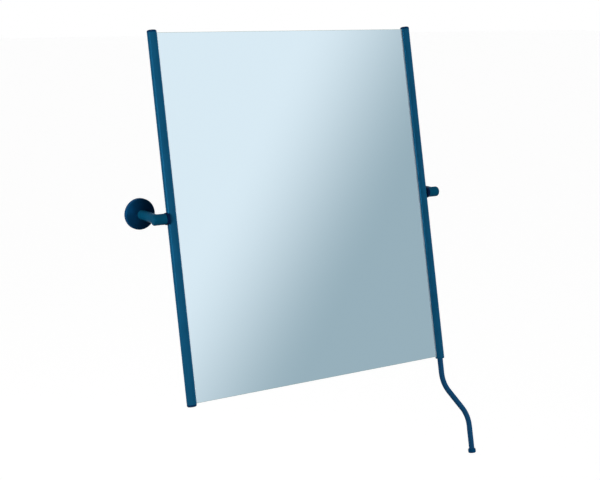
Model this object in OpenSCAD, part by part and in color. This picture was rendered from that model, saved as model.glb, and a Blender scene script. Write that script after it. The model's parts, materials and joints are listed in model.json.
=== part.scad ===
// Pivot wall mirror.  A sheet of mirror glass is held along both sides in slotted round tubes and
// swings on two pins, each carried by an arm from a round wall plate under a domed rosette.
// The right-hand tube ends in a cranked rod that a seated user tilts the mirror with.
//
// Frame: X to the right along the wall, Y into the wall, Z up.  The origin lies on the wall,
// midway between the two wall plates at the height of the pivots.  All sizes are in millimetres.

/* [Mirror glass] */
// Width of the glass, its edges inside the tubes included
glass_w = 500; // [300:5:800]
// Height of the glass
glass_h = 600; // [400:5:1000]
// Thickness of the glass
glass_t = 4; // [3:0.5:5]
// Bevel ground along the free top and bottom edges of the glass
glass_arris = 0.6; // [0.2:0.1:1]
// Thickness of the splinter film on the back of the glass
film_t = 0.3; // [0.2:0.1:0.6]
// Bare border left around the splinter film
film_border = 2; // [0.5:0.5:6]

/* [Side tubes] */
// Outside diameter of a side tube
tube_d = 16; // [15:0.5:22]
// Wall thickness of a side tube
tube_wall = 1.5; // [1:0.1:1.8]
// Depth to which the glass edge reaches into a tube
glass_grip = 4; // [3:0.1:4.4]
// Distance of the glass front in front of the tube axis
glass_forward = 0.5; // [0:0.1:1.5]

/* [Glazing gaskets] */
// Thickness of the gasket between glass and slot
gasket_t = 0.8; // [0.5:0.1:1]
// Length of gasket that shows beside a tube
gasket_lip = 1; // [0.5:0.1:2]
// Thickness of a gasket lip at its free edge
gasket_edge = 0.4; // [0.2:0.1:0.5]

/* [Tube ends] */
// Height of a tube end cap outside its tube
cap_h = 4; // [3:0.5:8]
// Radius of the rounded rim of an end cap
cap_round = 2.5; // [1:0.1:2.9]
// Length of an end cap's plug inside its tube
cap_plug = 12; // [8:1:20]
// Wall thickness of the hollow plug
cap_wall = 1.5; // [1:0.1:2]
// Thickness of the rib across the hollow plug
cap_rib = 1.2; // [0.8:0.1:2]

/* [Pivots] */
// Diameter of the pivot pin
pin_d = 10; // [8:0.5:10.5]
// Diameter of the threaded end of the pivot pin
pin_thread_d = 8; // [5:0.5:8]
// Length of the pivot pin inside the barrel of its arm
pin_run = 16; // [12:0.5:18]
// Depth of the groove that the friction pad presses into
groove_depth = 0.5; // [0.2:0.1:1]
// Wall thickness of the bush around the pivot pin
bush_wall = 1.5; // [1:0.1:1.8]
// Outside diameter of the saddle ring between tube and arm
saddle_d = 20; // [18.5:0.5:26]
// Thickness of the saddle ring beyond the side of the tube
saddle_t = 3; // [1.5:0.25:6]
// Distance that the saddle ring reaches back around the tube
saddle_wrap = 1; // [0.5:0.25:3]
// Thickness of the friction washer between saddle ring and arm
washer_t = 0.8; // [0.4:0.1:1.5]
// Diameter of the friction washer
washer_d = 15.5; // [14:0.5:18]
// Length of the threaded block inside a side tube
block_len = 40; // [20:1:80]
// Diameter of the grub screws
grub_d = 5; // [4:0.5:6]
// Distance of the friction screw from the open end of the barrel
friction_at = 7; // [4:0.5:9]
// Room on each side of the friction pad in its groove
groove_play = 0.3; // [0.1:0.05:0.5]
// Width across the corners of the key hexagon in the outer end of the pin
pin_key_d = 5.8; // [4:0.1:6.5]
// Depth of that hexagon
pin_key_depth = 3.5; // [2:0.5:5]

/* [Wall brackets] */
// Distance from the wall to the pivot axis
wall_reach = 70; // [60:1:120]
// Diameter of the barrel that holds the bush
barrel_d = 18; // [17:0.5:26]
// Radius of the rounded closed end of the barrel
barrel_round = 3; // [1:0.25:6]
// Outside diameter of the arm between barrel and wall
arm_d = 16; // [14:0.5:18]
// Wall thickness of the arm
arm_wall = 2; // [1.5:0.1:3]
// Distance from the tube axis out to the arm axis
arm_out = 25; // [24:0.5:50]
// Length of barrel past the arm axis
barrel_past = 9; // [7:0.25:15]
// Radius of the rounding in the inner corner between barrel and arm
elbow_round = 3; // [1:0.25:5]

/* [Wall plates and rosettes] */
// Diameter of a wall plate
plate_d = 44; // [40:0.5:60]
// Thickness of a wall plate
plate_t = 5; // [4:0.25:8]
// Distance between the two screw holes of a wall plate
screw_spacing = 32; // [29:0.5:34]
// Diameter of a screw hole
screw_hole_d = 5; // [3.5:0.25:5.5]
// Diameter of the countersink for a screw head
screw_head_d = 9.5; // [7:0.25:10]
// Length of the plate's spigot inside the arm
spigot_len = 14; // [9:0.5:40]
// Chamfer round the plate and round the end of its spigot
plate_chamfer = 0.6; // [0.3:0.1:1]
// Diameter of a rosette
rosette_d = 52; // [48:0.5:80]
// Height of a rosette's dome above the wall, taken at its axis
rosette_h = 13; // [11:0.25:20]
// Height of the dome above the wall where it meets the rim rounding
rosette_rim_h = 8.5; // [7:0.25:10]
// Radius of the rounding between rim and dome
rosette_round = 3; // [1:0.25:4]
// Wall thickness of a rosette's dome
rosette_wall = 2; // [1.5:0.1:3]
// Width of the step inside a rosette that sits on the plate
rosette_step = 2; // [1:0.25:3]
// Radius of the bead that snaps a rosette on its plate
snap_r = 0.5; // [0.3:0.05:0.6]

/* [Tilting lever] */
// Diameter of the lever rod
lever_d = 10; // [8:0.5:12]
// Diameter of the lever's threaded end
lever_thread_d = 6; // [5:0.5:7]
// Length of the lever's threaded end
lever_thread_len = 22; // [10:1:26]
// Depth of the seat for the lever rod in its socket
lever_seat = 2; // [1:0.25:3]
// Straight length of the lever below the socket
lever_neck = 26; // [10:1:80]
// Sideways offset of the lever's crank
lever_jog = 51; // [45:0.5:120]
// Sideways run of the crank's slanting stretch for each millimetre down
lever_slope = 0.75; // [0.4:0.05:1]
// Bend radius of the lever, to the middle of the rod
lever_bend_r = 60; // [20:1:70]
// Straight length of the lever from its last bend to its tip
lever_tail = 41; // [20:0.5:150]
// Diameter of the tip at the end of the lever
tip_d = 14; // [13:0.5:22]
// Height of the tip
tip_h = 8; // [6:0.5:20]
// Radius of the rounded rims of the tip
tip_round = 2; // [0.5:0.25:2.5]
// Thickness of the closed end of the tip
tip_floor = 2.5; // [1.5:0.25:4]
// Radius of the rounded lower rim of the lever socket
socket_round = 1; // [0.5:0.1:2.9]
// Length of the lever socket's plug inside the tube
socket_plug = 30; // [28:1:60]
// Diameter of the cross pin that holds the lever socket
cross_pin_d = 3; // [2:0.5:4]

/* [Pose and fits] */
// Lean of the mirror at rest, its lower edge away from the wall
tilt = 11.5; // [0:0.5:12]
// Gap between pieces that are fixed to each other
seat_gap = 0.05; // [0.02:0.01:0.1]
// Radial gap between pivot pin and bush
run_gap = 0.05; // [0.02:0.01:0.1]

/* [Hidden] */
$fn = 96;

coat = [0.07, 0.29, 0.44];      // blue coat of tubes, arms, rosettes and lever
dark = [0.04, 0.07, 0.16];      // near-black moulded rings
steel = [0.62, 0.63, 0.65];
nylon = [0.85, 0.84, 0.78];
clear = [0.82, 0.86, 0.88];     // milky clear gaskets
cut = 1;                        // how far a cutting shape runs past the face that it opens

tube_r = tube_d / 2;
bore_r = tube_r - tube_wall;
tube_x = glass_w / 2 - glass_grip + tube_r;     // distance of a tube axis from the middle
slot_back = glass_t - glass_forward + gasket_t; // rear face of the slot behind the tube axis
slot_front = glass_forward + gasket_t;          // front face of the slot before the tube axis
glass_edge = tube_r - glass_grip;               // glass edge, inwards from the tube axis
plug_in = glass_edge - gasket_t - 4 * seat_gap; // inward reach of everything that plugs a tube
pin_r = pin_d / 2;
seat_depth = 1;                                 // sinking of the pin's shoulder into its block
pin_seat = bore_r - seat_depth;                 // face in the block that the pin is tightened on
pin_chamfer = 1;
saddle_face = tube_r + saddle_t;                // outer face of the saddle ring from the tube axis
barrel_face = saddle_face + washer_t;           // open end of the barrel from the tube axis
barrel_end = arm_out + barrel_past;             // closed end of the barrel from the tube axis
barrel_r = barrel_d / 2;
bush_r = pin_r + run_gap + bush_wall;
bore_end = barrel_face + pin_run + 2 * seat_gap;
snap_z = plate_t / 2 - snap_r;                  // height of the snap bead above the wall
friction_x = barrel_face + friction_at;
pad_r = grub_d / 2 - 4 * seat_gap;
pad_t = 1.2;                                    // thickness of a friction pad
pad_top = pin_r - groove_depth + 2 * seat_gap;  // pad face below the pin axis
pad_base = pad_top + pad_t;                     // pad face that the friction screw bears on
hex_d = grub_d * 0.58;                          // key hexagon across its corners
hex_depth = 1.6;
screw_sunk = 0.3;                               // depth of a screw's outer end below the surface
grub_bite = 1;                                  // depth of the dimple under an arm grub screw
grub_margin = 2;                                // arm left between its grub screw and its end
arm_r = arm_d / 2;
bend_thin = 0.1;                                // how far a bend lies inside the bars that it joins
elbow_r = arm_r - bend_thin;
elbow_lap = 5;                                  // degrees that the corner runs into barrel and arm
arm_bore_r = arm_r - arm_wall;
plate_r = plate_d / 2;
plate_face = wall_reach - plate_t;              // front of a wall plate behind the pivot axis
grub_y = plate_face - grub_d / 2 - grub_margin; // arm grub screw behind the pivot axis
rosette_r = rosette_d / 2;
rosette_bore_r = arm_r + 3 * seat_gap;
lever_r = lever_d / 2;
lever_top = glass_h / 2 + cap_h - lever_seat;   // top face of the rod below the pivot axis
bend_1 = glass_h / 2 + cap_h + lever_neck;      // start of the first bend below the pivot axis
lever_angle = atan(lever_slope);
bend_lap = 1;                                   // degrees that a bend runs on into each straight
crank_h = lever_jog / lever_slope + 2 * lever_bend_r * tan(lever_angle / 2);
slant = (lever_jog - 2 * lever_bend_r * (1 - cos(lever_angle))) / sin(lever_angle);
bend_2 = bend_1 + crank_h;                      // end of the second bend below the pivot axis
tip_top = bend_2 + lever_tail;
cross_pin_edge = 2.5;                           // socket left above the cross pin's hole
cross_pin_z = glass_h / 2 - socket_plug + cross_pin_d / 2 + cross_pin_edge;  // below the pivot axis
cross_pin_in = lever_thread_d / 2 + cross_pin_d / 2;        // its inner end from the tube axis

// ---- places -------------------------------------------------------------------------------

// Pieces that swing are drawn upright about the pivot axis and leaned back here.
module on_mirror() {
    translate([0, -wall_reach, 0]) rotate([-tilt, 0, 0]) children();
}

// Pieces that stay on the wall are drawn about the pivot axis.
module on_wall() {
    translate([0, -wall_reach, 0]) children();
}

// A side's pieces are drawn for the right, with the tube axis at x = 0 and the glass at x < 0.
module at_right() {
    translate([tube_x, 0, 0]) children();
}

module at_left() {
    mirror([1, 0, 0]) at_right() children();
}

// Turns a shape that is drawn up from z = 0 to run outwards along x.
module outwards(from = 0) {
    translate([from, 0, 0]) rotate([0, 90, 0]) children();
}

// ---- shared shapes ------------------------------------------------------------------------

// Half outline of a round body with a rounded rim at its far end.
module rounded_outline(r, h, rim) {
    square([r, h - rim]);
    square([r - rim, h]);
    translate([r - rim, h - rim]) intersection() {
        circle(rim);
        square(rim);
    }
}

// Half outline of a round body with both rims rounded.
module pill_outline(r, h, rim) {
    square([r - rim, h]);
    translate([0, rim]) square([r, h - 2 * rim]);
    translate([r - rim, rim]) circle(rim);
    translate([r - rim, h - rim]) circle(rim);
}

// Section of what fits inside a tube beside the glass edge, drawn in by the given wall.
module plug_section(wall = 0) {
    intersection() {
        circle(bore_r - seat_gap - wall);
        translate([wall - plug_in, -tube_r]) square([plug_in + tube_r, tube_d]);
    }
}

// Grub screw along z with its key hexagon at the lower end.
module grub_screw(length) {
    difference() {
        cylinder(d = grub_d - 2 * seat_gap, h = length);
        translate([0, 0, -cut]) cylinder(d = hex_d, h = hex_depth + cut, $fn = 6);
    }
}

// ---- glass --------------------------------------------------------------------------------

module mirror_glass() {
    z = glass_h / 2;
    front = -glass_forward;
    back = glass_t - glass_forward;
    a = glass_arris;
    color([0.78, 0.87, 0.91]) on_mirror()
        translate([-glass_w / 2, 0, 0]) rotate([90, 0, 90]) linear_extrude(glass_w)
            polygon([
                [front, -z + a], [front + a, -z], [back - a, -z], [back, -z + a],
                [back, z - a], [back - a, z], [front + a, z], [front, z - a]
            ]);
}

module splinter_film() {
    half_w = tube_x - tube_r - gasket_lip - film_border;
    half_h = glass_h / 2 - film_border;
    color([0.75, 0.76, 0.76]) on_mirror()
        translate([-half_w, glass_t - glass_forward, -half_h])
            cube([2 * half_w, film_t, 2 * half_h]);
}

// ---- tubes, gaskets and end caps ----------------------------------------------------------

module tube_section() {
    difference() {
        circle(tube_r);
        circle(bore_r);
        translate([-tube_r - cut, -slot_front]) square([tube_r, slot_front + slot_back]);
    }
}

module side_tube() {
    difference() {
        translate([0, 0, -glass_h / 2]) linear_extrude(glass_h) tube_section();
        outwards() cylinder(r = pin_r + seat_gap, h = tube_r + cut);
    }
}

module left_side_tube() {
    color(coat) on_mirror() at_left() side_tube();
}

module right_side_tube() {
    color(coat) on_mirror() at_right() difference() {
        side_tube();
        translate([0, 0, -cross_pin_z]) outwards()
            cylinder(d = cross_pin_d + 2 * seat_gap, h = tube_r + cut);
    }
}

// A channel round the glass edge, whose lips get thinner outside the tube.
module gasket() {
    lip_x = -tube_r - gasket_lip;
    front = -glass_forward;
    back = glass_t - glass_forward;
    translate([0, 0, -glass_h / 2]) linear_extrude(glass_h) polygon([
        [lip_x, front], [lip_x, front - gasket_edge], [-tube_r, -slot_front],
        [gasket_t - glass_edge, -slot_front], [gasket_t - glass_edge, slot_back],
        [-tube_r, slot_back], [lip_x, back + gasket_edge], [lip_x, back],
        [-glass_edge, back], [-glass_edge, front]
    ]);
}

module left_gasket() {
    color(clear) on_mirror() at_left() gasket();
}

module right_gasket() {
    color(clear) on_mirror() at_right() gasket();
}

// Cap for the top end of a tube, with a hollow plug that a rib crosses.
module end_cap() {
    translate([0, 0, glass_h / 2]) difference() {
        union() {
            rotate_extrude() rounded_outline(tube_r, cap_h, cap_round);
            translate([0, 0, -cap_plug]) linear_extrude(cap_plug + cap_h / 2) plug_section();
        }
        translate([0, 0, -cap_plug - cut]) linear_extrude(cap_plug + cut) difference() {
            plug_section(cap_wall);
            translate([-tube_r, -cap_rib / 2]) square([tube_d, cap_rib]);
        }
    }
}

module left_top_cap() {
    color(coat) on_mirror() at_left() end_cap();
}

module right_top_cap() {
    color(coat) on_mirror() at_right() end_cap();
}

module left_bottom_cap() {
    color(coat) on_mirror() at_left() mirror([0, 0, 1]) end_cap();
}

// ---- pivots -------------------------------------------------------------------------------

module pivot_block() {
    difference() {
        translate([0, 0, -block_len / 2]) linear_extrude(block_len) plug_section();
        outwards(pin_seat) cylinder(r = pin_r + seat_gap, h = tube_r);
        outwards(-tube_r) cylinder(d = pin_thread_d, h = tube_d);
    }
}

module left_pivot_block() {
    color(steel) on_mirror() at_left() pivot_block();
}

module right_pivot_block() {
    color(steel) on_mirror() at_right() pivot_block();
}

module pivot_pin() {
    groove_w = grub_d + 2 * groove_play;
    tip = barrel_face + pin_run;
    difference() {
        union() {
            outwards(-plug_in + seat_gap)
                cylinder(d = pin_thread_d - 2 * seat_gap, h = pin_seat + plug_in);
            outwards(pin_seat) cylinder(r = pin_r, h = tip - pin_seat - pin_chamfer);
            outwards(tip - pin_chamfer)
                cylinder(r1 = pin_r, r2 = pin_r - pin_chamfer, h = pin_chamfer);
        }
        outwards(friction_x - groove_w / 2) difference() {
            cylinder(r = pin_r + cut, h = groove_w);
            translate([0, 0, -cut]) cylinder(r = pin_r - groove_depth, h = groove_w + 2 * cut);
        }
        outwards(tip - pin_key_depth) cylinder(d = pin_key_d, h = pin_key_depth + cut, $fn = 6);
    }
}

module left_pivot_pin() {
    color(steel) on_mirror() at_left() pivot_pin();
}

module right_pivot_pin() {
    color(steel) on_mirror() at_right() pivot_pin();
}

// Ring with a hollow face that hugs the tube and a flat face towards the arm.
module saddle_ring() {
    difference() {
        outwards(tube_r - saddle_wrap) cylinder(d = saddle_d, h = saddle_wrap + saddle_t);
        outwards(0) cylinder(r = pin_r + seat_gap, h = saddle_face + cut);
        translate([0, 0, -saddle_d]) cylinder(r = tube_r + seat_gap, h = 2 * saddle_d);
    }
}

module left_saddle_ring() {
    color(dark) on_mirror() at_left() saddle_ring();
}

module right_saddle_ring() {
    color(dark) on_mirror() at_right() saddle_ring();
}

module friction_washer() {
    outwards(saddle_face) difference() {
        cylinder(d = washer_d, h = washer_t);
        translate([0, 0, -cut]) cylinder(r = pin_r + 2 * seat_gap, h = washer_t + 2 * cut);
    }
}

module left_friction_washer() {
    color(dark) on_mirror() at_left() friction_washer();
}

module right_friction_washer() {
    color(dark) on_mirror() at_right() friction_washer();
}

// ---- tilting lever ------------------------------------------------------------------------

module lever_socket() {
    color(coat) on_mirror() at_right() difference() {
        mirror([0, 0, 1]) translate([0, 0, glass_h / 2]) {
            rotate_extrude() rounded_outline(tube_r, cap_h, socket_round);
            translate([0, 0, -socket_plug]) linear_extrude(socket_plug + cap_h / 2) plug_section();
        }
        translate([0, 0, -lever_top - lever_seat - cut])
            cylinder(r = lever_r + seat_gap, h = lever_seat + cut);
        translate([0, 0, -lever_top - cut])
            cylinder(d = lever_thread_d + 2 * seat_gap, h = lever_thread_len + cut + 2 * seat_gap);
        translate([0, 0, -cross_pin_z]) outwards(cross_pin_in)
            cylinder(d = cross_pin_d + 2 * seat_gap, h = tube_r);
    }
}

module lever_cross_pin() {
    color(steel) on_mirror() at_right() translate([0, 0, -cross_pin_z]) outwards(cross_pin_in)
        cylinder(d = cross_pin_d, h = tube_r - cross_pin_in - screw_sunk);
}

// Straight stretch of rod down from here, with what follows at its end.
module straight(length, r) {
    translate([0, 0, -length]) {
        cylinder(r = r, h = length);
        children();
    }
}

// Bend of the rod from here towards +x, with what follows at its end.  A bend draws the rod a
// little thinner, and its ends lie inside the straight stretches beside it.
module bend(angle, bend_r, r) {
    translate([bend_r, 0, 0]) {
        rotate([90, 0, 0]) rotate([0, 0, 180 - bend_lap])
            rotate_extrude(angle = angle + 2 * bend_lap) translate([bend_r, 0]) circle(r - bend_thin);
        rotate([0, -angle, 0]) translate([-bend_r, 0, 0]) children();
    }
}

module lever_rod() {
    color(coat) on_mirror() at_right() translate([0, 0, -lever_top]) {
        cylinder(d = lever_thread_d, h = lever_thread_len);
        straight(lever_seat + lever_neck, lever_r)
            bend(lever_angle, lever_bend_r, lever_r)
                straight(slant, lever_r)
                    mirror([1, 0, 0]) bend(lever_angle, lever_bend_r, lever_r)
                        straight(lever_tail + tip_h - tip_floor, lever_r);
    }
}

module lever_tip() {
    color(coat) on_mirror() at_right() translate([lever_jog, 0, -tip_top - tip_h]) difference() {
        rotate_extrude() pill_outline(tip_d / 2, tip_h, tip_round);
        translate([0, 0, tip_floor]) cylinder(r = lever_r + seat_gap, h = tip_h);
    }
}

// ---- wall brackets ------------------------------------------------------------------------

// Rounding in the inner corner between barrel and arm: a short bend just inside both.
module elbow_corner() {
    bend_r = elbow_r + elbow_round;
    translate([arm_out - bend_r, barrel_r - arm_r + bend_r, 0])
        rotate([0, 0, -90 - elbow_lap]) rotate_extrude(angle = 90 + 2 * elbow_lap)
            translate([bend_r, 0]) circle(elbow_r);
}

// One welded piece: the barrel along x and the hollow arm back to the wall plate.
module bracket_arm() {
    difference() {
        union() {
            outwards(barrel_face) rotate_extrude()
                rounded_outline(barrel_r, barrel_end - barrel_face, barrel_round);
            translate([arm_out, 0, 0]) rotate([-90, 0, 0]) cylinder(r = arm_r, h = plate_face);
            elbow_corner();
        }
        outwards(barrel_face - cut) cylinder(r = bush_r + seat_gap, h = bore_end - barrel_face + cut);
        translate([arm_out, barrel_r + arm_wall, 0]) rotate([-90, 0, 0])
            cylinder(r = arm_bore_r, h = plate_face);
        translate([friction_x, 0, -barrel_d]) cylinder(d = grub_d, h = barrel_d);
        translate([arm_out, grub_y, -arm_d]) cylinder(d = grub_d, h = arm_d);
    }
}

module left_bracket_arm() {
    color(coat) on_wall() at_left() bracket_arm();
}

module right_bracket_arm() {
    color(coat) on_wall() at_right() bracket_arm();
}

module pivot_bush() {
    difference() {
        outwards(barrel_face) cylinder(r = bush_r, h = pin_run);
        outwards(barrel_face - cut) cylinder(r = pin_r + run_gap, h = pin_run + 2 * cut);
        translate([friction_x, 0, -barrel_d]) cylinder(d = grub_d, h = barrel_d);
    }
}

module left_pivot_bush() {
    color(nylon) on_wall() at_left() pivot_bush();
}

module right_pivot_bush() {
    color(nylon) on_wall() at_right() pivot_bush();
}

module friction_pad() {
    translate([friction_x, 0, -pad_base]) cylinder(r = pad_r, h = pad_base - pad_top);
}

module friction_pads() {
    color([0.72, 0.58, 0.3]) on_wall() {
        at_left() friction_pad();
        at_right() friction_pad();
    }
}

module friction_screw() {
    length = barrel_r - pad_base - screw_sunk;
    translate([friction_x, 0, -pad_base - length]) grub_screw(length);
}

module friction_screws() {
    color(steel) on_wall() {
        at_left() friction_screw();
        at_right() friction_screw();
    }
}

module arm_grub_screw() {
    length = arm_wall + grub_bite - screw_sunk;
    translate([arm_out, grub_y, -arm_r + screw_sunk]) grub_screw(length);
}

module arm_grub_screws() {
    color(steel) on_wall() {
        at_left() arm_grub_screw();
        at_right() arm_grub_screw();
    }
}

// ---- wall plates and rosettes -------------------------------------------------------------

// Drawn with the wall at z = 0 and the room at z > 0, and turned to the wall.
module from_wall() {
    on_wall() translate([tube_x + arm_out, wall_reach, 0]) rotate([90, 0, 0]) children();
}

// Round bar up from z = 0 with a chamfer round its far end.
module chamfered_bar(r, h) {
    cylinder(r = r, h = h - plate_chamfer);
    translate([0, 0, h - plate_chamfer])
        cylinder(r1 = r, r2 = r - plate_chamfer, h = plate_chamfer);
}

module wall_plate() {
    head_depth = (screw_head_d - screw_hole_d) / 2;
    difference() {
        union() {
            chamfered_bar(plate_r, plate_t);
            chamfered_bar(arm_bore_r - seat_gap, plate_t + spigot_len);
        }
        rotate_extrude() translate([plate_r, snap_z]) circle(snap_r + 3 * seat_gap);
        for (side = [-1, 1]) translate([0, side * screw_spacing / 2, 0]) {
            translate([0, 0, -cut]) cylinder(d = screw_hole_d, h = plate_t + 2 * cut);
            translate([0, 0, plate_t - head_depth])
                cylinder(d1 = screw_hole_d, d2 = screw_head_d, h = head_depth);
            translate([0, 0, plate_t]) cylinder(d = screw_head_d, h = cut);
        }
        translate([0, grub_bite - arm_bore_r, wall_reach - grub_y]) rotate([90, 0, 0])
            cylinder(d = grub_d, h = grub_bite + cut);
    }
}

module left_wall_plate() {
    color(steel) mirror([1, 0, 0]) from_wall() wall_plate();
}

module right_wall_plate() {
    color(steel) from_wall() wall_plate();
}

// Half outline of the rosette: a straight rim, a rounding and a shallow ball-shaped dome.
module rosette_outline() {
    rim_x = rosette_r - rosette_round;
    dome_r = (pow(rim_x, 2) + pow(rosette_h - rosette_rim_h, 2)) / (2 * (rosette_h - rosette_rim_h));
    dome_z = rosette_h - dome_r;
    round_z = dome_z + sqrt(pow(dome_r - rosette_round, 2) - pow(rim_x, 2));
    reach = 1.2;                // runs the dome's sector out past the dome
    recess_r = plate_r + 2 * seat_gap;
    difference() {
        union() {
            square([rosette_r, round_z]);
            translate([rim_x, round_z]) circle(rosette_round);
            intersection() {
                translate([0, dome_z]) circle(dome_r, $fn = 360);
                polygon([
                    [0, 0], [rim_x, 0], [rim_x, round_z],
                    [rim_x * reach, dome_z + (round_z - dome_z) * reach], [0, rosette_h * 2]
                ]);
            }
        }
        square([rosette_bore_r, rosette_h + cut]);
        difference() {
            square([recess_r, plate_t]);
            translate([recess_r, snap_z]) circle(snap_r);
        }
        intersection() {
            translate([0, dome_z]) circle(dome_r - rosette_wall, $fn = 360);
            square([plate_r - rosette_step, rosette_h]);
        }
    }
}

module rosette() {
    rotate_extrude() rosette_outline();
}

module left_rosette() {
    color(coat) mirror([1, 0, 0]) from_wall() rosette();
}

module right_rosette() {
    color(coat) from_wall() rosette();
}

// ---- parts --------------------------------------------------------------------------------

mirror_glass();
splinter_film();
left_side_tube();
right_side_tube();
left_gasket();
right_gasket();
left_top_cap();
right_top_cap();
left_bottom_cap();
left_pivot_block();
right_pivot_block();
left_pivot_pin();
right_pivot_pin();
left_saddle_ring();
right_saddle_ring();
left_friction_washer();
right_friction_washer();
lever_socket();
lever_cross_pin();
lever_rod();
lever_tip();
left_bracket_arm();
right_bracket_arm();
left_pivot_bush();
right_pivot_bush();
friction_pads();
friction_screws();
arm_grub_screws();
left_wall_plate();
right_wall_plate();
left_rosette();
right_rosette();
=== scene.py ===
# Pivot wall mirror: the finish of every piece, in a plain pale studio.
import json
import math

import bpy
import mathutils
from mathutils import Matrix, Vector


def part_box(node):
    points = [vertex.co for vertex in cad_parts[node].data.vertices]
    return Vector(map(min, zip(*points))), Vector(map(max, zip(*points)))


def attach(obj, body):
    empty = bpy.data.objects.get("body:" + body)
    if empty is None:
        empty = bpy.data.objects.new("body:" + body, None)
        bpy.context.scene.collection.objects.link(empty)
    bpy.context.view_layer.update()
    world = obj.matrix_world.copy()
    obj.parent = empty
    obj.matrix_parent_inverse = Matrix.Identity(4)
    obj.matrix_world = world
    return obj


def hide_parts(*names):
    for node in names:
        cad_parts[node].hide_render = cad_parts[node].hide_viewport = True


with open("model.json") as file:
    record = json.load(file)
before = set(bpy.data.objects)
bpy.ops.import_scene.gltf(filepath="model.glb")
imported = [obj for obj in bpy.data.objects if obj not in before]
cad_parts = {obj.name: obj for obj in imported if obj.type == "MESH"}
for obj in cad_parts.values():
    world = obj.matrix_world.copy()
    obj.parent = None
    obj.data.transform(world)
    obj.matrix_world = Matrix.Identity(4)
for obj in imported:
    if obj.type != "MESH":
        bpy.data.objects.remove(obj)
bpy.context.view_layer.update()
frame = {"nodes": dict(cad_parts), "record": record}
nodes = frame["nodes"]
print("frame loaded,", len(nodes), "nodes")

tilt = math.radians(11.5)  # lean of the mirror at rest, which its tubes and glass follow
noiseSpan = (0.3, 0.7)  # nearly all values of a noise lie between these


def addNode(tree, kind, **settings):
    node = tree.nodes.new("ShaderNode" + kind)
    for name, value in settings.items():
        setattr(node, name, value)
    return node


def feed(tree, socket, source):  # source is another socket, or a plain value
    if isinstance(source, bpy.types.NodeSocket):
        tree.links.new(source, socket)
    else:
        socket.default_value = source


def calc(tree, operation, *values):
    node = addNode(tree, "Math", operation=operation)
    for socket, value in zip(node.inputs, values):
        feed(tree, socket, value)
    return node.outputs[0]


def product(tree, first, *others):
    for other in others:
        first = calc(tree, "MULTIPLY", first, other)
    return first


def vectorCalc(tree, operation, *values):
    node = addNode(tree, "VectorMath", operation=operation)
    for socket, value in zip(node.inputs, values):
        feed(tree, socket, value)
    return node.outputs["Value" if operation == "DOT_PRODUCT" else "Vector"]


def axes(tree, vector):  # its x, y and z
    node = addNode(tree, "SeparateXYZ")
    feed(tree, node.inputs[0], vector)
    return node.outputs


def remap(tree, value, fromLow, fromHigh, toLow=0.0, toHigh=1.0, smooth=False):
    node = addNode(tree, "MapRange", interpolation_type="SMOOTHSTEP" if smooth else "LINEAR")
    for socket, item in zip(node.inputs, (value, fromLow, fromHigh, toLow, toHigh)):
        feed(tree, socket, item)
    return node.outputs[0]


def between(tree, share, first, second):  # first where the share is 0, second where it is 1
    return remap(tree, share, 0.0, 1.0, first, second)


def mixColour(tree, share, first, second, blend="MIX"):
    node = addNode(tree, "Mix", data_type="RGBA", blend_type=blend)
    feed(tree, node.inputs["Factor"], share)
    feed(tree, node.inputs[6], first)
    feed(tree, node.inputs[7], second)
    return node.outputs[2]


def tinted(tree, colour, shade):
    return mixColour(tree, 1.0, colour, shade, "MULTIPLY")


def noise(tree, vector, scale, detail=3.0, roughness=0.55, distortion=0.0):
    node = addNode(tree, "TexNoise")
    feed(tree, node.inputs["Vector"], vector)
    feed(tree, node.inputs["Scale"], scale)
    feed(tree, node.inputs["Detail"], detail)
    feed(tree, node.inputs["Roughness"], roughness)
    feed(tree, node.inputs["Distortion"], distortion)
    return node.outputs["Fac"]


def mapped(tree, vector, turn=(0, 0, 0), scale=(1, 1, 1), shift=(0, 0, 0)):
    node = addNode(tree, "Mapping")
    feed(tree, node.inputs["Vector"], vector)
    feed(tree, node.inputs["Location"], shift)
    feed(tree, node.inputs["Rotation"], turn)
    feed(tree, node.inputs["Scale"], scale)
    return node.outputs[0]


def newGroup(name, inputs, outputs):
    tree = bpy.data.node_groups.new(name, "ShaderNodeTree")
    for label, kind, value in inputs:
        socket = tree.interface.new_socket(label, in_out="INPUT", socket_type="NodeSocket" + kind)
        if value is not None:
            socket.default_value = value
    for label, kind in outputs:
        tree.interface.new_socket(label, in_out="OUTPUT", socket_type="NodeSocket" + kind)
    return tree, tree.nodes.new("NodeGroupInput").outputs, tree.nodes.new("NodeGroupOutput").inputs


def useGroup(tree, group, **values):
    node = tree.nodes.new("ShaderNodeGroup")
    node.node_tree = group
    for label, value in values.items():
        feed(tree, node.inputs[label], value)
    return node.outputs


def makeOrangePeel():  # the soft pebbling of a sprayed or moulded skin
    finer, fineHeight = 3.1, 0.35  # of the small pebbles, beside the large ones
    tree, given, out = newGroup(
        "orangePeel", [("Vector", "Vector", None), ("Scale", "Float", 700.0)], [("Height", "Float")]
    )
    fineScale = calc(tree, "MULTIPLY", given["Scale"], finer)
    coarse = noise(tree, given["Vector"], given["Scale"], detail=2.0, roughness=0.5)
    fine = noise(tree, given["Vector"], fineScale, detail=1.0, roughness=0.5)
    feed(tree, out["Height"], calc(tree, "MULTIPLY_ADD", fine, fineHeight, coarse))
    return tree


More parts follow.
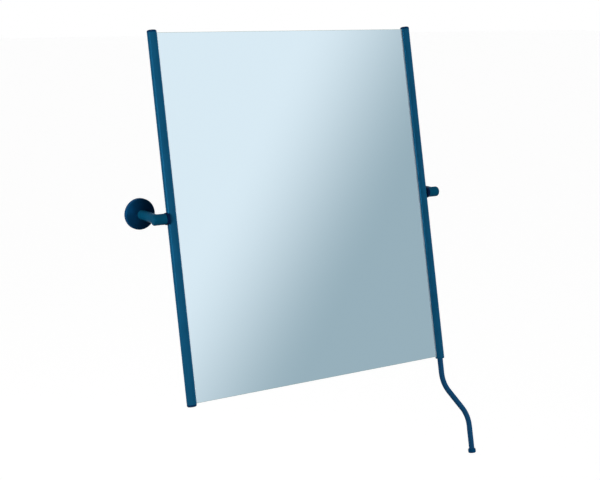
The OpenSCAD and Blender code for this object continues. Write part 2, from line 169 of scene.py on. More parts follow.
def makeMottle():  # slow change of shade and gloss from place to place
    hazeShift, hazeFiner = (3.7, 1.3, 5.1), 2.3  # so that the gloss doesn't follow the shade
    tree, given, out = newGroup(
        "mottle",
        [("Vector", "Vector", None), ("Scale", "Float", 18.0), ("Spread", "Float", 0.1)],
        [("Shade", "Float"), ("Gloss", "Float")],
    )
    patches = noise(tree, given["Vector"], given["Scale"], detail=4.0, roughness=0.6)
    hazePlace = mapped(tree, given["Vector"], shift=hazeShift)
    hazeScale = calc(tree, "MULTIPLY", given["Scale"], hazeFiner)
    haze = noise(tree, hazePlace, hazeScale, roughness=0.65, distortion=0.4)
    low = calc(tree, "SUBTRACT", 1.0, given["Spread"])
    high = calc(tree, "ADD", 1.0, given["Spread"])
    feed(tree, out["Shade"], remap(tree, patches, *noiseSpan, low, high))
    feed(tree, out["Gloss"], remap(tree, haze, *noiseSpan, -1.0, 1.0))
    return tree


def makeEdgeWear():  # where an outside edge is rubbed
    tree, given, out = newGroup(
        "edgeWear",
        [("Vector", "Vector", None), ("Width", "Float", 0.001), ("Amount", "Float", 0.5)],
        [("Mask", "Float")],
    )
    bevel = addNode(tree, "Bevel", samples=6)
    feed(tree, bevel.inputs["Radius"], given["Width"])
    flat = addNode(tree, "NewGeometry").outputs["Normal"]
    bend = calc(tree, "SUBTRACT", 1.0, vectorCalc(tree, "DOT_PRODUCT", bevel.outputs[0], flat))
    edge = remap(tree, bend, fromLow=0.01, fromHigh=0.16)
    grain = noise(tree, given["Vector"], scale=260.0, detail=4.0, roughness=0.7)
    patchy = remap(tree, grain, fromLow=0.42, fromHigh=0.62)
    feed(tree, out["Mask"], product(tree, edge, patchy, given["Amount"]))
    return tree


def makeDust():  # a trace of dust on what faces upwards
    tree, given, out = newGroup(
        "dust", [("Vector", "Vector", None), ("Amount", "Float", 0.1)], [("Mask", "Float")]
    )
    normal = addNode(tree, "TexCoord").outputs["Normal"]
    rise = vectorCalc(tree, "DOT_PRODUCT", normal, (0, 0, 1))
    upwards = remap(tree, rise, fromLow=0.25, fromHigh=0.95)
    grain = noise(tree, given["Vector"], scale=900.0, roughness=0.7)
    specks = remap(tree, grain, fromLow=0.35, fromHigh=0.7)
    feed(tree, out["Mask"], product(tree, upwards, specks, given["Amount"]))
    return tree


def makeTurning():  # fine rings that a lathe leaves round the z axis of the vector
    ringHeight = 0.3  # beside the grit in them
    tree, given, out = newGroup(
        "turning", [("Vector", "Vector", None), ("Pitch", "Float", 0.0004)], [("Height", "Float")]
    )
    x, y, z = axes(tree, given["Vector"])
    squares = calc(tree, "ADD", calc(tree, "POWER", x, 2.0), calc(tree, "POWER", y, 2.0))
    along = calc(tree, "ADD", calc(tree, "SQRT", squares), z)
    turns = calc(tree, "DIVIDE", along, given["Pitch"])
    wave = calc(tree, "SINE", calc(tree, "MULTIPLY", turns, 2 * math.pi))
    grit = noise(tree, mapped(tree, given["Vector"], scale=(1, 1, 9)), scale=1500.0, detail=2.0)
    feed(tree, out["Height"], calc(tree, "MULTIPLY_ADD", wave, ringHeight, grit))
    return tree


orangePeel, mottle, edgeWear = makeOrangePeel(), makeMottle(), makeEdgeWear()
dust, turning = makeDust(), makeTurning()
print("shared effects built")


def emptyTree(holder):  # of a material or the world
    holder.use_nodes = True
    holder.node_tree.nodes.clear()
    return holder.node_tree


def newFinish(name, **plain):  # plain values go straight to the shader's own sockets
    material = bpy.data.materials.new(name)
    tree = emptyTree(material)
    shader = addNode(tree, "BsdfPrincipled")
    for socket, value in plain.items():
        shader.inputs[socket.replace("_", " ")].default_value = value
    tree.links.new(shader.outputs[0], addNode(tree, "OutputMaterial").inputs["Surface"])
    return material, tree, shader.inputs, addNode(tree, "TexCoord").outputs["Object"]


def bump(tree, sockets, height, strength, depth):
    node = addNode(tree, "Bump")
    node.inputs["Strength"].default_value = strength
    node.inputs["Distance"].default_value = depth
    feed(tree, node.inputs["Height"], height)
    tree.links.new(node.outputs[0], sockets["Normal"])


def spots(tree, place, scale, spread):  # patches or flecks, with their shade and gloss
    return useGroup(tree, mottle, Vector=place, Scale=scale, Spread=spread)


def patched(tree, place, look):  # the shade and the roughness of its slow patches
    patches = spots(tree, place, look["patchScale"], look["patchSpread"])
    rough = calc(tree, "MULTIPLY_ADD", patches["Gloss"], look["glossSpread"], look["roughness"])
    return patches["Shade"], rough


def onePatchedColour(tree, sockets, place, look):
    shade, rough = patched(tree, place, look)
    feed(tree, sockets["Base Color"], tinted(tree, look["colour"], shade))
    feed(tree, sockets["Roughness"], rough)


def worn(tree, place, look, colour):  # the colour with its rubbed edges
    width, share = look["wearWidth"], look["wearShare"]
    edges = useGroup(tree, edgeWear, Vector=place, Width=width, Amount=share)
    return mixColour(tree, edges["Mask"], colour, look["rubbed"])


def pebbled(tree, sockets, place, look):
    peel = useGroup(tree, orangePeel, Vector=place, Scale=look["peelScale"])["Height"]
    bump(tree, sockets, peel, look["peelStrength"], look["peelDepth"])


coat = {  # sprayed and baked; tubes, arms and lever take three colours, the arms and lever darker copies of the tubes' colour as painted shade
    "tubes": (0.006, 0.077, 0.163, 1),
    # darker than the tubes: painted shade for the arms, which stood in less light
    "arms": (0.0022, 0.065, 0.13, 1),
    # darker green than the tubes: painted shade for the lever, further from the lamps
    "lever": (0.0085, 0.065, 0.16, 1),
    "rubbed": (0.02, 0.12, 0.22, 1),
    "wearWidth": 0.0009,
    "wearShare": 0.5,
    "dust": (0.35, 0.36, 0.36, 1),
    "dusty": 0.012,  # how much of the dust there is
    "dustRoughness": 2.0,
    "roughness": 0.25,
    "glossSpread": 0.04,
    "specular": 0.006,
    "flake": 0.055,  # share of the gloss that takes the coat's own colour
    "sheen": (0.1, 0.5, 0.85, 1),  # colour of that gloss where it grazes
    "patchScale": 22.0,
    "patchSpread": 0.08,
    "fleckScale": 2600.0,
    "fleckSpread": 0.1,
    "peelScale": 620.0,
    "peelStrength": 0.45,
    "peelDepth": 0.00012,
}
plastic = {  # moulded, without flecks
    "rosettes": (0.0026, 0.05, 0.136, 1),
    "caps": (0.002, 0.03, 0.09, 1),
    "rubbed": (0.02, 0.11, 0.2, 1),
    "wearWidth": 0.0007,
    "wearShare": 0.4,
    "dust": (0.35, 0.36, 0.36, 1),
    "dusty": 0.012,
    "dustRoughness": 2.0,
    "roughness": 0.3,
    "glossSpread": 0.03,
    "specular": 0.006,
    "flake": 0.05,
    "sheen": (0.1, 0.5, 0.85, 1),
    "patchScale": 30.0,
    "patchSpread": 0.08,
    "peelScale": 1500.0,
    "peelStrength": 0.4,
    "peelDepth": 0.00006,
}


def blueSkin(name, look, batch):
    material, tree, sockets, place = newFinish(
        name,
        Specular_IOR_Level=look["specular"],
        Metallic=look["flake"],
        Specular_Tint=look["sheen"],
    )
    shade, rough = patched(tree, place, look)
    if "fleckScale" in look:
        flecks = spots(tree, place, look["fleckScale"], look["fleckSpread"])
        shade = calc(tree, "MULTIPLY", shade, flecks["Shade"])
    colour = worn(tree, place, look, tinted(tree, look[batch], shade))
    dusty = useGroup(tree, dust, Vector=place, Amount=look["dusty"])["Mask"]
    rougher = calc(tree, "MULTIPLY_ADD", dusty, look["dustRoughness"], rough)
    feed(tree, sockets["Base Color"], mixColour(tree, dusty, colour, look["dust"]))
    feed(tree, sockets["Roughness"], rougher)
    pebbled(tree, sockets, place, look)
    return material


ring = {  # saddle rings and friction washers
    "colour": (0.0012, 0.009, 0.04, 1),
    "rubbed": (0.012, 0.03, 0.07, 1),
    "wearWidth": 0.0006,
    "wearShare": 0.5,
    "roughness": 0.55,
    "glossSpread": 0.06,
    "specular": 0.04,
    "patchScale": 60.0,
    "patchSpread": 0.15,
    "peelScale": 2200.0,
    "peelStrength": 0.4,
    "peelDepth": 0.00005,
}


def darkRing():
    material, tree, sockets, place = newFinish("darkRing", Specular_IOR_Level=ring["specular"])
    shade, rough = patched(tree, place, ring)
    colour = worn(tree, place, ring, tinted(tree, ring["colour"], shade))
    feed(tree, sockets["Base Color"], colour)
    feed(tree, sockets["Roughness"], rough)
    pebbled(tree, sockets, place, ring)
    return material


glass = {  # silver in front, paint at the back and ground edges
    "facing": (0.9, 0.99),  # squareness at which a face starts to count, and counts in full
    "silver": (0.9, 0.93, 0.935, 1),
    "edge": (0.3, 0.46, 0.42, 1),
    "edgeRoughness": 0.22,
    "groundScale": 900.0,
    "groundShade": (0.8, 1.15),
    "backPaint": (0.23, 0.26, 0.27, 1),
    "paintRoughness": 0.55,
    "patchScale": 35.0,
    "patchSpread": 0.12,
    "specular": 0.5,
    "wipeScale": 6.0,  # of the traces of a cloth on the front
    "wipeTurn": (0, 0.5, 0),
    "wipeStretch": (1, 1, 3.5),
    "wipeSpan": (0.45, 0.75),
    "smudge": 0.012,
}


def mirrorFinish():
    material, tree, sockets, place = newFinish("mirrorFinish", Specular_IOR_Level=glass["specular"])
    normal = mapped(tree, addNode(tree, "TexCoord").outputs["Normal"], turn=(tilt, 0, 0))
    inwards = axes(tree, normal)[1]
    first, whole = glass["facing"]
    front = remap(tree, inwards, -first, -whole)
    back = remap(tree, inwards, first, whole)
    grit = noise(tree, place, glass["groundScale"], roughness=0.7)
    edge = tinted(tree, glass["edge"], remap(tree, grit, *noiseSpan, *glass["groundShade"]))
    patches = spots(tree, place, glass["patchScale"], glass["patchSpread"])
    paint = tinted(tree, glass["backPaint"], patches["Shade"])
    colour = mixColour(tree, front, mixColour(tree, back, edge, paint), glass["silver"])
    feed(tree, sockets["Base Color"], colour)
    feed(tree, sockets["Metallic"], front)
    swept = mapped(tree, place, turn=glass["wipeTurn"], scale=glass["wipeStretch"])
    wiped = noise(tree, swept, glass["wipeScale"], detail=4.0, roughness=0.6, distortion=0.6)
    smudged = remap(tree, wiped, *glass["wipeSpan"], 0.0, glass["smudge"])
    dull = between(tree, back, glass["edgeRoughness"], glass["paintRoughness"])
    feed(tree, sockets["Roughness"], between(tree, front, dull, smudged))
    return material


film = {  # flat tapes, woven one over one
    # light is the tapes' own colour; shade is a darker copy of it, painted shade for the low places
    # of the weave
    "light": (0.3, 0.33, 0.35, 1),
    "shade": (0.2, 0.225, 0.24, 1),
    "paintedShadeSpan": (0.2, 0.95),  # heights of the weave between which its colour goes from painted shade to the tapes' own colour
    "roughness": 0.42,
    "glossSpread": 0.06,
    "specular": 0.35,
    "patchScale": 9.0,
    "patchSpread": 0.06,
    "tapeWidth": 0.0032,
    "roundness": 0.5,  # of a tape's section; lower is flatter
    "threadScale": 400.0,
    "threadStretch": (1, 1, 40),
    "threadShade": (0.85, 1.0),
    "puckerScale": 14.0,
    "puckerStretch": (1, 1, 0.3),
    "puckerHeight": 2.5,  # beside the height of the weave
    "reliefStrength": 0.5,
    "reliefDepth": 0.0003,
}


def tapeSection(tree, steps):
    wave = calc(tree, "SINE", calc(tree, "MULTIPLY", steps, math.pi))
    return calc(tree, "POWER", calc(tree, "ABSOLUTE", wave), film["roundness"])


def splinterFilm():
    material, tree, sockets, place = newFinish("splinterFilm", Specular_IOR_Level=film["specular"])
    flat = mapped(tree, place, turn=(tilt, 0, 0))
    x, _, z = axes(tree, flat)
    across = calc(tree, "DIVIDE", x, film["tapeWidth"])
    up = calc(tree, "DIVIDE", z, film["tapeWidth"])
    cell = calc(tree, "ADD", calc(tree, "FLOOR", across), calc(tree, "FLOOR", up))
    over = calc(tree, "PINGPONG", cell, 1.0)  # 0 and 1 by turns, as on a chessboard
    woven = between(tree, over, tapeSection(tree, across), tapeSection(tree, up))
    drawn = mapped(tree, flat, scale=film["threadStretch"])
    grain = noise(tree, drawn, film["threadScale"], detail=2.0)
    height = calc(tree, "MULTIPLY", woven, remap(tree, grain, *noiseSpan, *film["threadShade"]))
    # darker where the weave lies low: painted shade between the tapes, with the threads' own grain
    # mixed in
    colour = mixColour(tree, remap(tree, height, *film["paintedShadeSpan"]), film["shade"], film["light"])
    shade, rough = patched(tree, place, film)
    feed(tree, sockets["Base Color"], tinted(tree, colour, shade))
    feed(tree, sockets["Roughness"], rough)
    sheet = mapped(tree, flat, scale=film["puckerStretch"])
    puckers = noise(tree, sheet, film["puckerScale"], roughness=0.5, distortion=0.8)
    relief = calc(tree, "MULTIPLY_ADD", puckers, film["puckerHeight"], height)
    bump(tree, sockets, relief, film["reliefStrength"], film["reliefDepth"])
    return material


gasket = {  # milky, with fine lines drawn along it
    "colour": (0.72, 0.83, 0.91, 1),
    "clear": 0.55,
    "bending": 1.4,  # index of refraction
    "specular": 0.3,
    "roughness": 0.35,
    "glossSpread": 0.05,
    "patchScale": 40.0,
    "patchSpread": 0.06,
    "lineScale": 2500.0,
    "lineStretch": (1, 1, 0.02),
    "lineStrength": 0.3,
    "lineDepth": 0.00005,
}


def clearGasket():
    material, tree, sockets, place = newFinish(
        "clearGasket",
        Specular_IOR_Level=gasket["specular"],
        Transmission_Weight=gasket["clear"],
        IOR=gasket["bending"],
    )
    onePatchedColour(tree, sockets, place, gasket)
    drawn = mapped(tree, place, turn=(tilt, 0, 0), scale=gasket["lineStretch"])
    lines = noise(tree, drawn, gasket["lineScale"], detail=2.0)
    bump(tree, sockets, lines, gasket["lineStrength"], gasket["lineDepth"])
    return material


steel = {  # zinc-plated, with the rings that a lathe leaves
    "all": {
        "patchScale": 140.0,
        "glossSpread": 0.06,
        "lineSpan": (0.2, 0.8),
        "ringStrength": 0.5,
        "ringDepth": 0.00005,
    },
    "plate": {
        "colour": (0.37, 0.385, 0.41, 1),
        "roughness": 0.36,
        "patchSpread": 0.05,
        "pitch": 0.0009,
        "lines": 0.1,  # how much the rings lighten and darken the colour
        "turn": (math.pi / 2, 0, 0),  # brings the axis that it was turned about to z
    },
    "pin": {
        "colour": (0.5, 0.51, 0.53, 1),
        "roughness": 0.24,
        "patchSpread": 0.03,
        "pitch": 0.0003,
        "lines": 0.04,
        "turn": (0, math.pi / 2, 0),
    },
    "screw": {
        "colour": (0.2, 0.205, 0.215, 1),
        "roughness": 0.36,
        "patchSpread": 0.1,
        "pitch": 0.0004,
        "lines": 0.03,
        "turn": (0, 0, 0),
    },
}
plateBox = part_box("right_wall_plate")
plateX = (plateBox[0][0] + plateBox[1][0]) / 2


def centredOnPlates(tree, place):  # both sides share one pattern, centred on their own plate
    x, y, z = axes(tree, place)
    join = addNode(tree, "CombineXYZ")
    outwards = calc(tree, "SUBTRACT", calc(tree, "ABSOLUTE", x), plateX)
    for socket, value in zip(join.inputs, (outwards, y, z)):
        feed(tree, socket, value)
    return join.outputs[0]


def zincSteel(kind):
    look = {**steel["all"], **steel[kind]}
    material, tree, sockets, place = newFinish(kind + "Steel", Metallic=1.0)
    centred = centredOnPlates(tree, place) if kind == "plate" else place
    turned = mapped(tree, centred, turn=look["turn"])
    rings = useGroup(tree, turning, Vector=turned, Pitch=look["pitch"])["Height"]
    lines = remap(tree, rings, *look["lineSpan"], 1 - look["lines"], 1 + look["lines"])
    shade, rough = patched(tree, place, look)
    lined = calc(tree, "MULTIPLY", shade, lines)
    feed(tree, sockets["Base Color"], tinted(tree, look["colour"], lined))
    feed(tree, sockets["Roughness"], rough)
    bump(tree, sockets, rings, look["ringStrength"], look["ringDepth"])
    return material


nylon = {  # pivot bushes
    "colour": (0.76, 0.74, 0.66, 1),
    "roughness": 0.45,
    "glossSpread": 0.05,
    "specular": 0.4,
    "patchScale": 80.0,
    "patchSpread": 0.05,
    "peelScale": 1800.0,
    "peelStrength": 0.25,
    "peelDepth": 0.00004,
}


def nylonBush():
    material, tree, sockets, place = newFinish("nylonBush", Specular_IOR_Level=nylon["specular"])
    onePatchedColour(tree, sockets, place, nylon)
    pebbled(tree, sockets, place, nylon)
    return material


brass = {  # friction pads
    "colour": (0.72, 0.5, 0.2, 1),
    "roughness": 0.3,
    "glossSpread": 0.07,
    "patchScale": 120.0,
    "patchSpread": 0.1,
    "pitch": 0.0004,
    "ringStrength": 0.25,
    "ringDepth": 0.00004,
}


def turnedBrass():
    material, tree, sockets, place = newFinish("turnedBrass", Metallic=1.0)
    onePatchedColour(tree, sockets, place, brass)
    rings = useGroup(tree, turning, Vector=place, Pitch=brass["pitch"])["Height"]
    bump(tree, sockets, rings, brass["ringStrength"], brass["ringDepth"])
    return material


finishes = {  # by the slot that the record gives a piece
    "mirror": mirrorFinish(),
    "film": splinterFilm(),
    "gasket": clearGasket(),
    "blue_coat": blueSkin("tubeCoat", coat, "tubes"),
    "blue_plastic": blueSkin("bluePlastic", plastic, "rosettes"),
    "dark_ring": darkRing(),
    "steel": zincSteel("screw"),
    "bush": nylonBush(),
    "brass": turnedBrass(),
}

# the arms and the lever get darker copies of the coat: painted shade
armCoatPaintedShade, leverCoatPaintedShade = blueSkin("armCoatPaintedShade", coat, "arms"), blueSkin("leverCoatPaintedShade", coat, "lever")
capPlastic = blueSkin("capPlastic", plastic, "caps")
plateSteel, pinSteel = zincSteel("plate"), zincSteel("pin")
ownFinish = {  # pieces that differ from the rest of their slot
    "left_top_cap": capPlastic,
    "right_top_cap": capPlastic,
    "left_bottom_cap": capPlastic,
    "left_bracket_arm": armCoatPaintedShade,
    "right_bracket_arm": armCoatPaintedShade,
    "lever_rod": leverCoatPaintedShade,
    "left_wall_plate": plateSteel,
    "right_wall_plate": plateSteel,
    "left_pivot_pin": pinSteel,
    "right_pivot_pin": pinSteel,
    "lever_cross_pin": pinSteel,
}

for part in frame["record"]["subparts"]:
    piece = nodes[part["node"]]
    piece.data.materials.clear()
    piece.data.materials.append(ownFinish.get(part["node"], finishes[part["material_slot"]]))
print("finishes on all nodes")


grubScrew = {  # a set screw with a rolled thread, its key hexagon facing down
    "pitch": 0.0008,
    "threadDepth": 0.00048,
    "crest": 0.125,  # width of the thread's flat top, as a share of the pitch
    "turnSteps": 40,
    "startTurns": 2.31,  # the thread starts this far below the screw
    "spareTurns": 4,
    "blankSides": 72,
    "chamfer": 0.0004,
    "hexagon": 0.0029,  # across its corners
    "hexagonDepth": 0.0016,
    "mouth": 0.00015,  # how far the hexagon's mouth opens out
    "cup": 0.0024,  # width of the cupped point
    "cupDepth": 0.0005,
    "coneSides": 48,
    "smoothAngle": 30,
}


def nothingSelected():
    bpy.ops.object.select_all(action="DESELECT")


def onlyThis(thing):
    nothingSelected()
    thing.select_set(True)
    bpy.context.view_layer.objects.active = thing


def applyPlace():
    bpy.ops.object.transform_apply(location=True, rotation=False, scale=False)


def combine(thing, tool, operation):
    onlyThis(thing)
    modifier = thing.modifiers.new("combine", "BOOLEAN")
    modifier.operation = operation
    modifier.solver = "EXACT"
    modifier.object = tool
    bpy.ops.object.modifier_apply(modifier=modifier.name)
    bpy.data.objects.remove(tool)


def threadProfile(radius):  # one turn's outline as a line of edges, below the origin
    pitch, depth = grubScrew["pitch"], grubScrew["threadDepth"]
    crest = pitch * grubScrew["crest"]
    flank = pitch * (1 - 2 * grubScrew["crest"]) / 2
    nothingSelected()
    start = (radius - depth, 0, -pitch * grubScrew["startTurns"])
    bpy.ops.mesh.primitive_plane_add(size=pitch, location=start)
    profile = bpy.context.object
    applyPlace()
    bpy.ops.object.mode_set(mode="EDIT")
    bpy.ops.mesh.select_mode(type="VERT")
    bpy.ops.mesh.select_all(action="SELECT")
    bpy.ops.mesh.merge(type="CENTER")
    for step in ((depth, 0, flank), (0, 0, crest), (-depth, 0, flank), (0, 0, crest)):
        bpy.ops.mesh.extrude_region_move(TRANSFORM_OT_translate={"value": step})
    bpy.ops.object.mode_set(mode="OBJECT")
    return profile


def threadedBar(radius, length):  # stands on the origin
    pitch = grubScrew["pitch"]
    overrun = pitch / 3  # by which it is longer than the screw at both ends
    mergeWithin, cutWithin = pitch / 1000, pitch / 10000
    bar = threadProfile(radius)
    screw = bar.modifiers.new("thread", "SCREW")
    screw.axis = "Z"
    screw.screw_offset = pitch
    screw.iterations = math.ceil(length / pitch) + grubScrew["spareTurns"]
    screw.steps = grubScrew["turnSteps"]
    screw.render_steps = grubScrew["turnSteps"]
    onlyThis(bar)
    bpy.ops.object.modifier_apply(modifier=screw.name)
    bpy.ops.object.mode_set(mode="EDIT")
    bpy.ops.mesh.select_all(action="SELECT")
    bpy.ops.mesh.remove_doubles(threshold=mergeWithin)
    for height, below in ((-overrun, True), (length + overrun, False)):
        bpy.ops.mesh.select_all(action="SELECT")
        bpy.ops.mesh.bisect(
            plane_co=(0, 0, height), plane_no=(0, 0, 1), use_fill=True,
            clear_inner=below, clear_outer=not below, threshold=cutWithin,
        )
    bpy.ops.mesh.select_all(action="SELECT")
    bpy.ops.mesh.normals_make_consistent(inside=False)
    bpy.ops.object.mode_set(mode="OBJECT")
    return bar


def chamferedBlank(radius, length):
    wider = radius + grubScrew["pitch"] / 20  # than the thread, so that only its ends cut
    sides, middle = grubScrew["blankSides"], (0, 0, length / 2)
    nothingSelected()
    bpy.ops.mesh.primitive_cylinder_add(
        vertices=sides, radius=wider, depth=length, location=middle
    )
    blank = bpy.context.object
    applyPlace()
    bpy.ops.object.mode_set(mode="EDIT")
    bpy.ops.mesh.select_mode(type="FACE")
    bpy.ops.mesh.select_all(action="DESELECT")
    bpy.ops.object.mode_set(mode="OBJECT")
    for face in blank.data.polygons:
        face.select = abs(face.normal.z) > 0.9  # both ends
    bpy.ops.object.mode_set(mode="EDIT")
    bpy.ops.mesh.region_to_loop()
    bpy.ops.mesh.bevel(offset=grubScrew["chamfer"], segments=1, affect="EDGES")
    bpy.ops.object.mode_set(mode="OBJECT")
    return blank


def cutterAt(sides, width, tipWidth, low, high):  # a cone or prism between two heights
    nothingSelected()
    bpy.ops.mesh.primitive_cone_add(
        vertices=sides,
        radius1=width / 2,
        radius2=tipWidth / 2,
        depth=high - low,
        location=(0, 0, (low + high) / 2),
    )
    cutter = bpy.context.object
    applyPlace()
    return cutter


def makeGrubScrew(radius, length):
    screw = threadedBar(radius, length)
    combine(screw, chamferedBlank(radius, length), "INTERSECT")
    hexagon, deep = grubScrew["hexagon"], grubScrew["hexagonDepth"]
    combine(screw, cutterAt(6, hexagon, hexagon, -deep, deep), "DIFFERENCE")
    sides, mouth = grubScrew["coneSides"], grubScrew["mouth"]
    opening = cutterAt(sides, hexagon + 4 * mouth, hexagon - 2 * mouth, -mouth, 2 * mouth)
    combine(screw, opening, "DIFFERENCE")
    cup, cupDeep = grubScrew["cup"], grubScrew["cupDepth"]
    hollow = cutterAt(sides, 0.0, 2 * cup, length - cupDeep, length + cupDeep)
    combine(screw, hollow, "DIFFERENCE")
    return screw


def threadedScrews(name, node):  # one on each side, where the node's plain ones are
    low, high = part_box(node)
    radius = (high[1] - low[1]) / 2
    right = makeGrubScrew(radius, high[2] - low[2])
    right.location = (high[0] - radius, (low[1] + high[1]) / 2, low[2])
    left = right.copy()
    left.data = right.data.copy()
    bpy.context.scene.collection.objects.link(left)
    left.location.x = low[0] + radius
    onlyThis(right)
    left.select_set(True)
    bpy.ops.object.join()
    applyPlace()
    bpy.ops.object.shade_smooth_by_angle(angle=math.radians(grubScrew["smoothAngle"]))
    right.name = name
    right.data.name = name
    right.data.materials.clear()
    right.data.materials.append(finishes["steel"])
    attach(right, "wall_brackets")
    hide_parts(node)


threadedScrews("frictionScrewsThreaded", "friction_screws")
threadedScrews("armGrubScrewsThreaded", "arm_grub_screws")
print("grub screws threaded")


def seenPlainly(tree):  # 1 for rays from the camera, off a gloss or through glass
    path = addNode(tree, "LightPath").outputs
    direct = calc(tree, "MAXIMUM", path["Is Camera Ray"], path["Is Glossy Ray"])
    return calc(tree, "MAXIMUM", direct, path["Is Transmission Ray"])


def stageMaterial(thing, name):
    material = bpy.data.materials.new(name)
    thing.data.materials.append(material)
    tree = emptyTree(material)
    return tree, addNode(tree, "OutputMaterial").inputs["Surface"]


ambient = {  # fill light on the object; seen plainly, the world is white
    "front": 0.015,
    "back": 0.3,
    "span": (-0.1, 0.9),  # how far back it starts to rise, and where it is full
}


def makeWorld():
    world = bpy.data.worlds.new("studioWorld")
    bpy.context.scene.world = world
    tree = emptyTree(world)
    inwards = axes(tree, addNode(tree, "TexCoord").outputs["Generated"])[1]
    soft = remap(tree, inwards, *ambient["span"], ambient["front"], ambient["back"])
    shade = addNode(tree, "Background")
    shade.inputs["Color"].default_value = (1, 1, 1, 1)
    feed(tree, shade.inputs["Strength"], between(tree, seenPlainly(tree), soft, 1.0))
    tree.links.new(shade.outputs[0], addNode(tree, "OutputWorld").inputs["Surface"])


floorLook = {
    "height": -1.35,
    "width": 120.0,
    "bounce": (0.1, 0.1, 0.1, 1),  # what it throws back on the object
    "shadowed": (0.35, 0.35, 0.35, 1),  # what the lamps and shadows change where it is seen
    "glow": 0.8,
}


def makeFloor():
    nothingSelected()
    middle = (0, 0, floorLook["height"])
    bpy.ops.mesh.primitive_plane_add(size=floorLook["width"], location=middle)
    floor = bpy.context.object
    floor.name = "studioFloor"
    floor.visible_glossy = False  # so that the mirror shows the dome all the way down
    tree, surface = stageMaterial(floor, "paleFloor")
    plain = addNode(tree, "BsdfDiffuse")
    plain.inputs["Color"].default_value = floorLook["bounce"]
    shadowed = addNode(tree, "BsdfDiffuse")
    shadowed.inputs["Color"].default_value = floorLook["shadowed"]
    glow = addNode(tree, "Emission")
    glow.inputs["Strength"].default_value = floorLook["glow"]
    seen = addNode(tree, "AddShader")
    tree.links.new(shadowed.outputs[0], seen.inputs[0])
    tree.links.new(glow.outputs[0], seen.inputs[1])
    either = addNode(tree, "MixShader")
    feed(tree, either.inputs[0], seenPlainly(tree))
    tree.links.new(plain.outputs[0], either.inputs[1])
    tree.links.new(seen.outputs[0], either.inputs[2])
    tree.links.new(either.outputs[0], surface)


reflected = {  # each edge: degrees to its side where it starts and ends, and its lean
    "radius": 7.0,
    "segments": 96,
    "rings": 48,
    "openAt": 0.2,  # how far behind the wall it is cut open
    "pale": (0.77, 0.889, 0.972, 1),
    "greyBlue": (0.343, 0.464, 0.534, 1),
    "rightFall": (18.0, 30.7, 0.83),
    "rightRise": (48.0, 95.0, 0.3),
    "leftFall": (-24.0, 42.0, 0.8),
    "riseShare": 0.8,
    "leftShare": 0.85,
}


def makeReflectedDome():  # what the mirror shows: a pale light that falls off on both sides
    nothingSelected()
    bpy.ops.mesh.primitive_uv_sphere_add(
        segments=reflected["segments"],
        ring_count=reflected["rings"],
        radius=reflected["radius"],
    )
    dome = bpy.context.object
    dome.name = "reflectedDome"
    cut = (0, reflected["openAt"], 0)
    bpy.ops.object.mode_set(mode="EDIT")
    bpy.ops.mesh.select_all(action="SELECT")
    bpy.ops.mesh.bisect(plane_co=cut, plane_no=(0, 1, 0), clear_outer=True)
    bpy.ops.object.mode_set(mode="OBJECT")
    tree, surface = stageMaterial(dome, "domeGradient")
    way = vectorCalc(tree, "NORMALIZE", addNode(tree, "TexCoord").outputs["Object"])
    x, y, z = axes(tree, way)
    azimuth = calc(tree, "ARCTAN2", x, calc(tree, "MULTIPLY", y, -1.0))

    def change(edge, side, smooth, share):
        first, last, lean = reflected[edge]
        slope = calc(tree, "MULTIPLY_ADD", z, -lean, calc(tree, "MULTIPLY", azimuth, side))
        return remap(tree, slope, math.radians(first), math.radians(last), 0.0, share, smooth)

    rise = change("rightRise", 1.0, True, reflected["riseShare"])
    right = calc(tree, "SUBTRACT", change("rightFall", 1.0, True, 1.0), rise)
    left = change("leftFall", -1.0, False, reflected["leftShare"])
    fall = calc(tree, "MAXIMUM", right, left)
    colour = mixColour(tree, fall, reflected["pale"], reflected["greyBlue"])
    glow = addNode(tree, "Emission")
    feed(tree, glow.inputs["Color"], colour)
    tree.links.new(glow.outputs[0], surface)
    dome.visible_camera = False
    dome.visible_diffuse = False
    dome.visible_shadow = False
    dome.visible_volume_scatter = False


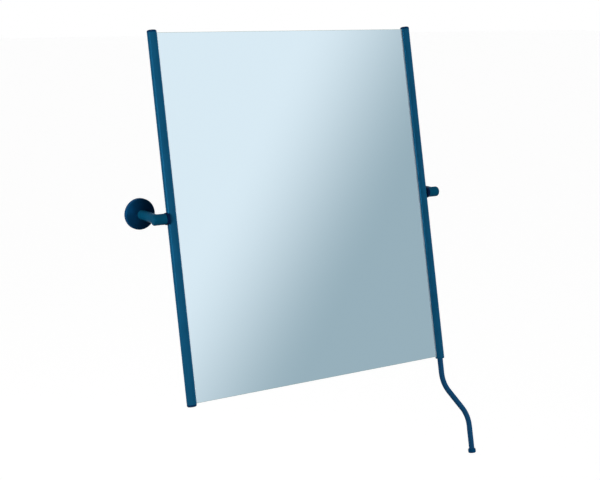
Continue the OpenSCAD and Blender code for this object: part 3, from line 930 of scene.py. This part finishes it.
softbox = {  # stands close on the left, so the far side gets less of it
    "aim": (-0.26, -0.07, 0),
    "azimuth": -85,
    "elevation": 6,
    "distance": 2.5,
    "width": 1.06,
    "power": 62,
}
lamps = {  # azimuth is in degrees to the right of straight before the mirror
    "rightLight": {"azimuth": 33, "elevation": 8, "spread": 14, "strength": 2.75},
    "topLight": {"azimuth": 10, "elevation": 78, "spread": 40, "strength": 0.12},
    "backLight": {"azimuth": 165, "elevation": 40, "spread": 60, "strength": 1.3},
}


def addLamp(name, kind, azimuth, elevation):
    lamp = bpy.data.objects.new(name, bpy.data.lights.new(name, kind))
    bpy.context.scene.collection.objects.link(lamp)
    lamp.rotation_euler = (math.radians(90 - elevation), 0, math.radians(azimuth))
    return lamp


def addSun(name, azimuth, elevation, spread, strength):
    lamp = addLamp(name, "SUN", azimuth, elevation)
    lamp.data.energy = strength
    lamp.data.angle = math.radians(spread)
    lamp.visible_glossy = False


def addSoftbox():
    lamp = addLamp("leftSoftbox", "AREA", softbox["azimuth"], softbox["elevation"])
    lamp.data.shape = "DISK"
    lamp.data.size = softbox["width"]
    lamp.data.energy = softbox["power"]
    away = lamp.rotation_euler.to_matrix() @ mathutils.Vector((0, 0, softbox["distance"]))
    lamp.location = mathutils.Vector(softbox["aim"]) + away
    lamp.visible_camera = False


photoView = {  # fitted to the outlines of the tubes, the glass and the rosette
    "lens": 72.94,
    "sensor": 36.0,
    "rise": -0.0428,
    "place": (-1.11028, -1.80177, 0.33704),
    "down": 9.758,
    "right": 32.426,
    "near": 0.05,
    "far": 300.0,
}


def makeCamera():
    data = bpy.data.cameras.new("photoCamera")
    data.sensor_width = photoView["sensor"]
    data.sensor_fit = "HORIZONTAL"
    data.lens = photoView["lens"]
    data.shift_y = photoView["rise"]
    data.clip_start = photoView["near"]
    data.clip_end = photoView["far"]
    camera = bpy.data.objects.new("photoCamera", data)
    bpy.context.scene.collection.objects.link(camera)
    camera.location = photoView["place"]
    tip = math.radians(90 - photoView["down"])
    camera.rotation_euler = (tip, 0, math.radians(-photoView["right"]))
    bpy.context.scene.camera = camera


makeWorld()
makeFloor()
makeReflectedDome()
addSoftbox()
for lampName, lampLook in lamps.items():
    addSun(lampName, **lampLook)
makeCamera()
bpy.context.scene.view_settings.view_transform = "Standard"
print("studio built")
